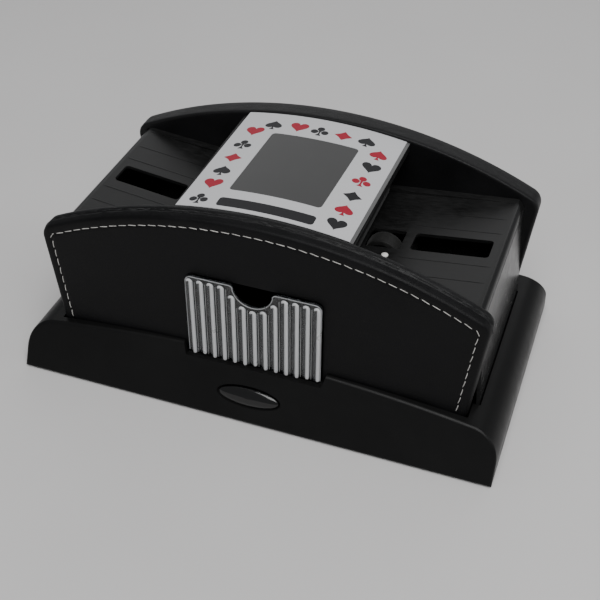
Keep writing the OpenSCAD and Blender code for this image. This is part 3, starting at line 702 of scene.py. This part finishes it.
def make_panel(where, side):
    """Facing, board and stitching of one panel. Side is -1 for the front one and 1 for the rear one."""
    facing = raw_object(where + "_facing", panel_skin(FACING if side < 0 else REAR_FACING, side))
    board = raw_object(where + "_wrapped_board", panel_skin(FRONT_BOARD if side < 0 else REAR_BOARD, side))
    if side < 0:
        boolean(facing, drawer_hole())
        boolean(board, drawer_hole())
    settle(facing, side)
    settle(board, side)
    skin = LEATHER if side < 0 else WRAP
    finish_piece(facing, "housing", skin, [where + "_leather"], sharp=50)
    finish_piece(board, "housing", WRAP, [where + "_board"], sharp=50)
    make_stitching(where + "_stitching", side)


make_panel("front", -1)
make_panel("rear", 1)


# ---------- trays ----------

TRAY_EDGE = Vector((104.9, 82.5))
TRAY_DEGREES = 7
TRAY_SLOPE = math.tan(math.radians(TRAY_DEGREES))
TRAY_ROUND = 4.0
TRAY_RIDGES = (13.7, 26.3)
# How far the end wall's top passes the end of the tray's sloping floor
TRAY_OVERHANG = 0.9
# Half width of the strips that are softened along the ridges, and the share of their height that goes
RIDGE_HALF = 0.7
RIDGE_SOFTENING = 0.55
# How far the left tray's end leans in at most, and where along X and Z the lean grows to that
TRAY_LEAN = 2.5
LEAN_X = (60, 90)
LEAN_Z = (30, 75)
FLANGE_Y = 44.2


def tray_rounding(side):
    """Filler behind the tray's outer top edge, and the cutter that rounds it."""
    r = TRAY_ROUND
    x = TRAY_EDGE.x - r
    z = TRAY_EDGE.y + TRAY_SLOPE * (x - TRAY_EDGE.x + TRAY_OVERHANG) - r * math.sqrt(1 + TRAY_SLOPE ** 2)
    curve = arc((x, z), r, 90 + TRAY_DEGREES, 0, 12)
    top_x, top_z = curve[0]
    back = x + r - TRAY_OVERHANG
    cutter = curve + [(112, z), (112, 90), (top_x, 90)]
    filler = [(top_x - 3, top_z - 1.2), (back, z - 3), (back, z + 1), (x + 1, top_z - 0.8)]
    solids = []
    for outline, half in ((filler, 44.8), (cutter, 60)):
        solids.append(prism_y([(side * a, b) for a, b in outline], -half, half))
    return solids


def tray_flange(side, y):
    """Return flange that closes the end wall's edge against the panel."""
    outline = [(103.2, 28), (107.6, 28), (105.1, 74), (103.2, 74)]
    return prism_y([(side * a, b) for a, b in outline], y - 1, y + 1)


def soften_ridges(obj):
    """Lowers the guide ridges on the tray floor until they only just show."""
    for vertex in obj.data.vertices:
        x, y, z = (abs(c) / MM for c in vertex.co)
        rise = z - (TRAY_EDGE.y - (TRAY_EDGE.x - TRAY_OVERHANG - x) * TRAY_SLOPE)
        if 0.02 < rise < 0.5 and 55 < x < 101 and min(abs(y - line) for line in TRAY_RIDGES) < RIDGE_HALF:
            vertex.co.z -= RIDGE_SOFTENING * rise * MM


def grown(value, low, high):
    """0 up to low, 1 from high on, and even growth between them."""
    return min(max((value - low) / (high - low), 0), 1)


def lean_in(obj):
    """The left tray's outer end leans in towards its top."""
    for vertex in obj.data.vertices:
        x, z = -vertex.co.x / MM, vertex.co.z / MM
        outer = grown(x, *LEAN_X)
        upper = grown(z, *LEAN_Z)
        vertex.co.x += TRAY_LEAN * outer * upper * MM


def make_tray(where, side):
    """Card tray with a rounder outer edge than the CAD one, and a glossier end wall."""
    obj = cad_copy(where + "_tray_moulding", where + "_tray", 0.35)
    filler, cutter = tray_rounding(side)
    boolean(obj, filler, "UNION")
    boolean(obj, cutter)
    for y in (-FLANGE_Y, FLANGE_Y):
        boolean(obj, tray_flange(side, y), "UNION")
    soften_ridges(obj)
    if side < 0:
        lean_in(obj)
    finish_piece(obj, "housing", TRAY, [where + "_tray"], sharp=35)
    obj.data.materials.append(TRAY_WALL)
    for polygon in obj.data.polygons:
        if side * polygon.center.x / MM > 100 and side * polygon.normal.x > 0.35:
            polygon.material_index = 1


make_tray("left", -1)
make_tray("right", 1)


# ---------- cover ----------

cover_low, cover_high = mm_box("clear_cover")
LABEL_TOP_R = ARCH_R - 0.4
LABEL_T = 0.28
COVER_R = LABEL_TOP_R - 0.3
COVER_T = 1.4
LABEL_HALF = 41.85
LABEL_ASKEW = (-0.1, 1.0)
LABEL_Y = 45.1
# How far the cover reaches past the label on its left and right
COVER_LEFT = 0.3
COVER_RIGHT = 1.7
WINDOW_SIZE = (45.1, 54.5)
WINDOW_AT = (0.8, -1.4)
WINDOW_LEAN = 0.025
WINDOW_ROUND = 2.0
BAR_SIZE = (46.8, 6.9)
BAR_ROUND = 1.7
BAR_Y = -39.0
# Heights below and above the whole label, for what cuts through it
THROUGH = (50, 150)


def arch_z(x, r):
    return ARCH_Z + math.sqrt(r ** 2 - x ** 2)


def arch_sheet(half_x, half_y, r_top, r_low, askew=(0, 0)):
    """Sheet that follows the arch, with its front and rear ends shifted along X by askew."""
    xs = [half_x * (2 * k / 64 - 1) for k in range(65)]
    rows = []
    for y, dx in ((-half_y, askew[0]), (half_y, askew[1])):
        low = [(x + dx, y, arch_z(x + dx, r_low)) for x in xs]
        rows.append(low + [(x + dx, y, arch_z(x + dx, r_top)) for x in reversed(xs)])
    return loft(rows)


def make_cover():
    """Clear cover, with a grey on the strip of its top right of the label that paints the light caught in
    the clear edge, and a dark satin on its right side.
    """
    low = cover_low.z
    left, right = -LABEL_HALF - COVER_LEFT, LABEL_HALF + COVER_RIGHT
    xs = [left + (right - left) * k / 64 for k in range(63)] + [LABEL_HALF - 0.1, right]
    inner = [left + COVER_T + (right - left - 2 * COVER_T) * k / 64 for k in range(65)]
    rows = []
    for y, dx in ((cover_low.y, LABEL_ASKEW[0]), (cover_high.y, LABEL_ASKEW[1])):
        outline = [(x + dx, arch_z(x + dx, COVER_R)) for x in reversed(xs)]
        outline += [(left + dx, low), (left + COVER_T + dx, low)]
        outline += [(x + dx, arch_z(x + dx, COVER_R - COVER_T)) for x in inner]
        outline += [(right - COVER_T + dx, low), (right + dx, low)]
        rows.append([(x, y, z) for x, z in outline])
    obj = raw_object("cover_shell", loft(rows))
    bevel(obj, 0.3, 40)
    finish_piece(obj, "housing", COVER, ["clear_cover"])
    obj.data.materials.append(COVER_EDGE_PAINTED_LIGHT)
    obj.data.materials.append(COVER_SIDE)
    for polygon in obj.data.polygons:
        x, y, z = polygon.center / MM
        # Strip right of the label: painted light of the clear edge
        if x > LABEL_HALF - 0.2 and polygon.normal.z > 0.4 and z > arch_z(x, COVER_R) - 0.8:
            polygon.material_index = 1
        elif x > LABEL_HALF + 1 and polygon.normal.x > 0.7:
            polygon.material_index = 2


def heart():
    """Heart 0.94 wide and 0.85 high, anticlockwise from the cleft."""
    points = []
    for k in range(40):
        t = 2 * math.pi * k / 40
        y = 13 * math.cos(t) - 5 * math.cos(2 * t) - 2 * math.cos(3 * t) - math.cos(4 * t)
        points.append((-16 * math.sin(t) ** 3 / 34, (y + 2.5) / 34))
    return points


def stem(top, foot, half):
    """Small flared foot under a spade or a club."""
    neck = foot + 0.14
    return [(-0.035, top), (-0.05, neck), (-half, foot), (half, foot), (0.05, neck), (0.035, top)]


def disc(x, y, r):
    turns = [2 * math.pi * k / 24 for k in range(24)]
    return [(x + r * math.cos(t), y + r * math.sin(t)) for t in turns]


def spade():
    return [[(0.93 * x, 0.09 - 0.82 * y) for x, y in heart()], stem(-0.05, -0.42, 0.13)]


def club():
    """Three discs, the piece that joins them, and a stem."""
    discs = [disc(x, y, 0.185) for x, y in ((0, 0.22), (-0.27, -0.07), (0.27, -0.07))]
    web = [(-0.2, -0.07), (0, -0.02), (0.2, -0.07), (0.05, 0.02), (0, 0.15), (-0.05, 0.02)]
    return discs + [web, stem(0.02, -0.41, 0.15)]


def diamond():
    """Diamond with slightly hollow sides."""
    points = []
    for sx, sy in ((1, 0), (0, 1), (-1, 0), (0, -1)):
        points.append((0.46 * sx, 0.40 * sy))
        nx, ny = -sy, sx
        points.append((0.20 * (sx + nx), 0.175 * (sy + ny)))
    return [points]


def on_label(outline, size, at, lift):
    """A printed shape on the arched label, as a thin skin of ink."""
    flat = [(at[0] + size * x, at[1] + size * y) for x, y in outline]
    rings = [[(x, y, arch_z(x, LABEL_TOP_R) + rise) for x, y in flat] for rise in (-0.1, lift)]
    return loft(rings)


SUIT_SIZE = 10.0
SUIT_SHAPES = {"heart": lambda: [heart()], "spade": spade, "club": club, "diamond": diamond}
SUITS_BLACK = [
    ("club", -33.0, -38.4), ("spade", -32.1, -13.2), ("club", -31.7, 12.1), ("spade", -23.4, 33.4),
    ("club", 1.0, 33.6), ("spade", 25.3, 34.0), ("heart", 33.5, 13.2), ("diamond", 32.7, -12.8),
    ("heart", 32.6, -36.8),
]
SUITS_RED = [
    ("heart", -32.0, -25.2), ("diamond", -31.7, -0.8), ("heart", -31.0, 25.6), ("heart", -10.2, 33.9),
    ("diamond", 13.1, 34.0), ("spade", 33.8, 25.6), ("club", 33.0, 0.6), ("spade", 32.6, -24.8),
]


def suit_prints(suits):
    """All the suits of one colour as one print. The parts of a suit differ slightly in height."""
    solids = []
    for kind, x, y in suits:
        for k, outline in enumerate(SUIT_SHAPES[kind]()):
            solids.append(on_label(outline, SUIT_SIZE, (x, y), 0.05 + 0.004 * k))
    return joined(*solids)


def window_outline(inset):
    """Outline of the label's window, whose sides lean a little to the right."""
    points = round_rect(WINDOW_SIZE[0] - inset, WINDOW_SIZE[1] - inset, WINDOW_ROUND)
    return shifted([(x + WINDOW_LEAN * y, y) for x, y in points], *WINDOW_AT)


def make_label():
    """Printed card with its window, its suits and a blank bar."""
    under = LABEL_TOP_R - LABEL_T
    card = raw_object("label_card", arch_sheet(LABEL_HALF, LABEL_Y, LABEL_TOP_R, under, LABEL_ASKEW))
    boolean(card, prism_z(window_outline(0), *THROUGH))
    finish_piece(card, "housing", CARD, ["suit_card"])
    pane = raw_object("viewing_window", arch_sheet(LABEL_HALF, LABEL_Y, LABEL_TOP_R - 0.1, under))
    boolean(pane, prism_z(window_outline(0.1), *THROUGH), "INTERSECT")
    finish_piece(pane, "housing", WINDOW, ["window_pane"])
    finish_piece(raw_object("suits_black", suit_prints(SUITS_BLACK)), "housing", INK_BLACK)
    finish_piece(raw_object("suits_red", suit_prints(SUITS_RED)), "housing", INK_RED)
    bar = raw_object("blank_bar", arch_sheet(30, LABEL_Y, LABEL_TOP_R + 0.05, LABEL_TOP_R - 0.1))
    boolean(bar, prism_z(shifted(round_rect(*BAR_SIZE, BAR_ROUND), 0, BAR_Y), *THROUGH), "INTERSECT")
    finish_piece(bar, "housing", INK_BLACK)


make_cover()
make_label()
finish_piece(cad_copy("cover_bridge", "cover_frame", 0.3), "housing", INNER, ["cover_frame"])
for where in ("left", "right"):
    flap = cad_copy(where + "_gate_flap", where + "_gate", 0.3)
    finish_piece(flap, "housing", GATE, [where + "_gate"])


# ---------- drawer ----------

drawer_low, drawer_high = mm_box("card_drawer")
RIB_COUNT = 13
RIB_W = 3.8
RIB_STEP = (2 * drawer_high.x - 4.3) / (RIB_COUNT - 1)
RIB_OUT = 1.0
RIB_TOP_GAP = 1.3
# Ribs, counted from 0 at the left, whose foot is higher than the others', and by how much
SHORT_RIBS = (1, 6, 11, 12)
SHORT_BY = 0.9
# Thickness of the drawer's walls, and the height of those behind its front
DRAWER_T = 1.5
DRAWER_WALL = 32
PLATE_Y = drawer_low.y + RIB_OUT
# Radius and depth of the thumb notch, and the free space around it that the ribs keep
THUMB_R = 10.2
THUMB_DEPTH = 10.4
THUMB_FREE = 1.7


def drawer_top_edge():
    """The front's top edge from right to left: round corners and the thumb notch between them."""
    half, top, lip = drawer_high.x, drawer_high.z, 2.0
    centre_z = top - THUMB_DEPTH + THUMB_R
    points = arc((half - 3, top - 3), 3, 0, 90, 8)
    points += arc((THUMB_R + lip - 0.3, top - lip), lip, 90, 165, 6)
    points += arc((0, centre_z), THUMB_R, -8, -172, 36)
    points += arc((-THUMB_R - lip + 0.3, top - lip), lip, 15, 90, 6)
    return points + arc((-half + 3, top - 3), 3, 90, 180, 8)


def drawer_front_outline():
    half, low = drawer_high.x, drawer_low.z
    foot = [(-half + 0.8, low), (half - 0.8, low), (half, low + 0.8)]
    return foot + drawer_top_edge() + [(-half, low + 0.8)]


def bead(path, radii, y):
    """Round bead along an XZ path, with a radius for each point."""
    rings = []
    inwards = Vector((0, 1, 0))
    turns = [2 * math.pi * i / 16 for i in range(16)]
    for k, ((x, z), r) in enumerate(zip(path, radii)):
        before, after = path[max(k - 1, 0)], path[min(k + 1, len(path) - 1)]
        along = Vector((after[0] - before[0], 0, after[1] - before[1])).normalized()
        across = along.cross(inwards)
        centre = Vector((x, y, z))
        rings.append([tuple(centre + r * (math.cos(t) * across + math.sin(t) * inwards)) for t in turns])
    return loft(rings)


def rib(x, low, top):
    """Low clear half-round rib with a domed top and a rounded foot."""
    w = RIB_W / 2
    rings = []
    for k in range(11):
        t = math.radians(90 - 9 * k)
        rings.append((top - w + w * math.sin(t), max(w * math.cos(t), 0.12)))
    for rise, share in ((1.6, 1.0), (0.9, 0.97), (0.4, 0.85), (0.1, 0.6), (0.0, 0.3)):
        rings.append((low + rise, w * share))
    turns = [2 * math.pi * i / 32 for i in range(32)]
    rows = []
    for z, r in rings:
        rows.append([(x + r * math.cos(t), PLATE_Y + 0.2 + 0.8 * r / w * math.sin(t), z) for t in turns])
    return loft(rows)


def painted_highlight_stripe(x, low, top):
    """Frosted stripe right of a rib's crest that paints its highlight: hooked over to the left at its top,
    blunt at its foot.
    """
    hook = 1.0
    path = arc((x - 0.2, top - hook - 0.8), hook, 180, 0, 12)
    path += [(x - 0.2 + hook, z) for z in (top - 3.2, low + 3, low + 1.4, low + 0.7, low + 0.3, low + 0.1)]
    radii = [0.4, 0.5, 0.58] + [0.65 + 0.03 * k for k in range(6)]
    radii += [0.84, 0.9, 0.95, 0.98, 1.0, 1.0, 1.0, 1.0, 0.85, 0.5]
    return bead(path, radii, PLATE_Y)


def make_drawer():
    """Clear drawer with clear ribs. The frosted stripes beside their crests, the rounded rim bead and the
    fine lines between them are light frosted beads that paint highlights on its front.
    """
    body = raw_object("card_drawer_body", prism_y(drawer_front_outline(), PLATE_Y, PLATE_Y + DRAWER_T))
    half, low, rear = drawer_high.x, drawer_low.z, drawer_high.y
    wall_top = low + DRAWER_WALL
    box = [(-half, low), (half, low), (half, wall_top), (-half, wall_top)]
    boolean(body, prism_y(box, PLATE_Y + DRAWER_T - 0.2, rear), "UNION")
    inside = round_rect(2 * (half - DRAWER_T), rear - PLATE_Y - 2 * DRAWER_T, 1.0)
    boolean(body, prism_z(shifted(inside, 0, (rear + PLATE_Y) / 2), low + DRAWER_T, wall_top + 5))
    bevel(body, 0.25, 40)
    finish_piece(body, "card_drawer", DRAWER, ["card_drawer"])
    ribs, highlight_stripes = [], []
    for k in range(RIB_COUNT):
        x = (k - (RIB_COUNT - 1) / 2) * RIB_STEP
        top = drawer_high.z - RIB_TOP_GAP
        clear_r = THUMB_R + THUMB_FREE
        if abs(x) < clear_r + 0.8:
            centre_z = drawer_high.z - THUMB_DEPTH + THUMB_R
            top = min(top, centre_z - math.sqrt(max(clear_r ** 2 - x ** 2, 25)))
        foot = low + (SHORT_BY if k in SHORT_RIBS else 0.0)
        ribs.append(rib(x, foot, top))
        highlight_stripes.append(painted_highlight_stripe(x, foot, top))
    finish_piece(raw_object("card_drawer_ribs", joined(*ribs)), "card_drawer", DRAWER)
    # Frosted light stripes: painted highlights on the ribs
    finish_piece(raw_object("card_drawer_painted_highlights", joined(*highlight_stripes)), "card_drawer", DRAWER_RIB_PAINTED_HIGHLIGHT)
    # Light bead along the top edge: painted highlight of the clear plate's rim
    edge = [(x * 0.995, z - 0.12) for x, z in drawer_top_edge()]
    edge = [(edge[0][0], low + 1.5)] + edge + [(edge[-1][0], low + 1.5)]
    rim_highlight = raw_object("card_drawer_rim_highlight", bead(edge, [0.28] * len(edge), PLATE_Y))
    finish_piece(rim_highlight, "card_drawer", DRAWER_EDGE_PAINTED_HIGHLIGHT)
    # Thin light beads between the ribs: painted highlights of the refracted rib edges
    gap_highlights = []
    for k in range(RIB_COUNT - 1):
        x = (k + 0.5 - (RIB_COUNT - 1) / 2) * RIB_STEP
        top = drawer_high.z - 3 if abs(x) > THUMB_R + 2 else drawer_high.z - THUMB_DEPTH - 2
        gap_highlights.append(bead([(x, low + 1), (x, top)], [0.14, 0.14], PLATE_Y))
    finish_piece(raw_object("card_drawer_gap_highlights", joined(*gap_highlights)), "card_drawer", DRAWER_EDGE_PAINTED_HIGHLIGHT)


make_drawer()


# ---------- rollers ----------

TYRE_BORE = 6.8


def lathe_y(profile, centre):
    """Solid of revolution about a line along Y: profile is (radius, y)."""
    turns = [2 * math.pi * k / 64 for k in range(64)]
    rows = []
    for r, y in profile:
        rows.append([(centre[0] + r * math.cos(t), y, centre[1] + r * math.sin(t)) for t in turns])
    return loft(rows)


def make_tyre(where):
    """Rubber tyre with rounded edges and a bore that clears its hub."""
    low, high = mm_box(where + "_roller_tyre")
    centre = ((low.x + high.x) / 2, (low.z + high.z) / 2)
    r, y = (high.x - low.x) / 2, high.y
    half = [(r - 1.4, -y), (r - 0.7, -y + 0.06), (r - 0.25, -y + 0.3), (r - 0.06, -y + 0.8), (r, -y + 1.6)]
    obj = raw_object(where + "_feed_tyre", lathe_y(half + [(a, -b) for a, b in reversed(half)], centre))
    boolean(obj, lathe_y([(TYRE_BORE, -y - 1), (TYRE_BORE, y + 1)], centre))
    finish_piece(obj, where + "_roller", TYRE, [where + "_roller_tyre"])


for where in ("left", "right"):
    make_tyre(where)


# ---------- pieces that keep their CAD shape ----------

# CAD node: its piece's name, edge rounding, material, slot and body
ROUNDED = {
    "bottom_plate": ("base_floor_plate", 0.3, UNDERSIDE, "base_underside", "housing"),
    "chassis": ("inner_chassis", 0.25, INNER, "inner_plastic", "housing"),
    "battery_box": ("battery_holder", 0.25, INNER, "inner_plastic", "housing"),
    "rubber_feet": ("feet_rubber", 0.4, FOOT, "foot_rubber", "housing"),
    "battery_door": ("battery_hatch", 0.25, UNDERSIDE, "base_underside", "battery_door"),
}
for node, (name, width, material, slot, body) in ROUNDED.items():
    finish_piece(cad_copy(name, node, width), body, material, [node])

# CAD nodes that only get a better material: single ones, and those that each side has
KEPT = {
    STEEL: ["base_screws", "chassis_screws", "panel_screws", "contact_springs", "gear_studs"],
    BRASS: ["contact_plates"],
    CELL: ["batteries"],
    SWITCH_RED: ["switch_plunger"],
    INNER: ["switch_body"],
    CIRCUIT: ["circuit_board"],
    NYLON: ["tray_pins"],
    WIRE_RED: ["wire_harness"],
}
KEPT_BOTH_SIDES = {
    STEEL: ["feed_shaft", "motor_bracket", "motor_shaft"],
    CAN: ["motor_can"],
    INNER: ["roller_hub", "motor_cap"],
    NYLON: ["shaft_bushes"],
    GEAR: ["roller_gear", "compound_gear"],
    GEAR_GREY: ["idler_gear"],
    BRASS: ["motor_pinion"],
}


def give_material(node, material):
    """Gives a CAD node another material and leaves its shape."""
    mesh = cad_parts[node].data
    mesh.materials.clear()
    mesh.materials.append(material)


for material, nodes in KEPT.items():
    for node in nodes:
        give_material(node, material)
for material, nodes in KEPT_BOTH_SIDES.items():
    for node in nodes:
        give_material("left_" + node, material)
        give_material("right_" + node, material)


# ---------- floor and light ----------

FLOOR_HALF = 3000


def make_stage():
    corners = [(FLOOR_HALF * x, FLOOR_HALF * y, 0) for x, y in ((-1, -1), (1, -1), (1, 1), (-1, 1))]
    floor = raw_object("floor", (corners, [(0, 1, 2, 3)]))
    s = Surface("floor_pale", Specular_IOR_Level=0.2)
    floor.data.materials.append(s.feed(
        Base_Color=s.shades(s.noise(120, detail=2), (0.3, (0.60, 0.59, 0.585)), (0.7, (0.62, 0.61, 0.605))),
        Roughness=s.remap(s.noise(2, detail=2), 0, 1, 0.75, 0.9),
    ))


def area_light(name, place, target, size, power):
    """White rectangular light at place, in metres, that faces target."""
    data = bpy.data.lights.new(name, "AREA")
    data.shape = "RECTANGLE"
    data.size, data.size_y = size
    data.energy = power
    lamp = bpy.data.objects.new(name, data)
    bpy.context.scene.collection.objects.link(lamp)
    lamp.location = place
    lamp.rotation_euler = (Vector(target) - Vector(place)).to_track_quat("-Z", "Y").to_euler()


def make_light():
    world = bpy.data.worlds.new("studio")
    bpy.context.scene.world = world
    world.use_nodes = True
    sky = world.node_tree.nodes["Background"]
    sky.inputs["Color"].default_value = (0.95, 0.97, 1.0, 1)
    sky.inputs["Strength"].default_value = 0.27
    area_light("key", (0.35, -0.7, 1.4), (0, 0, 0.05), (1.1, 1.1), 24)
    area_light("wall", (-0.3, 1.7, 0.9), (0, 0, 0.1), (2.4, 1.4), 8)
    area_light("side", (1.7, 0.3, 0.8), (0, 0, 0.05), (1.0, 0.8), 5)


make_stage()
make_light()
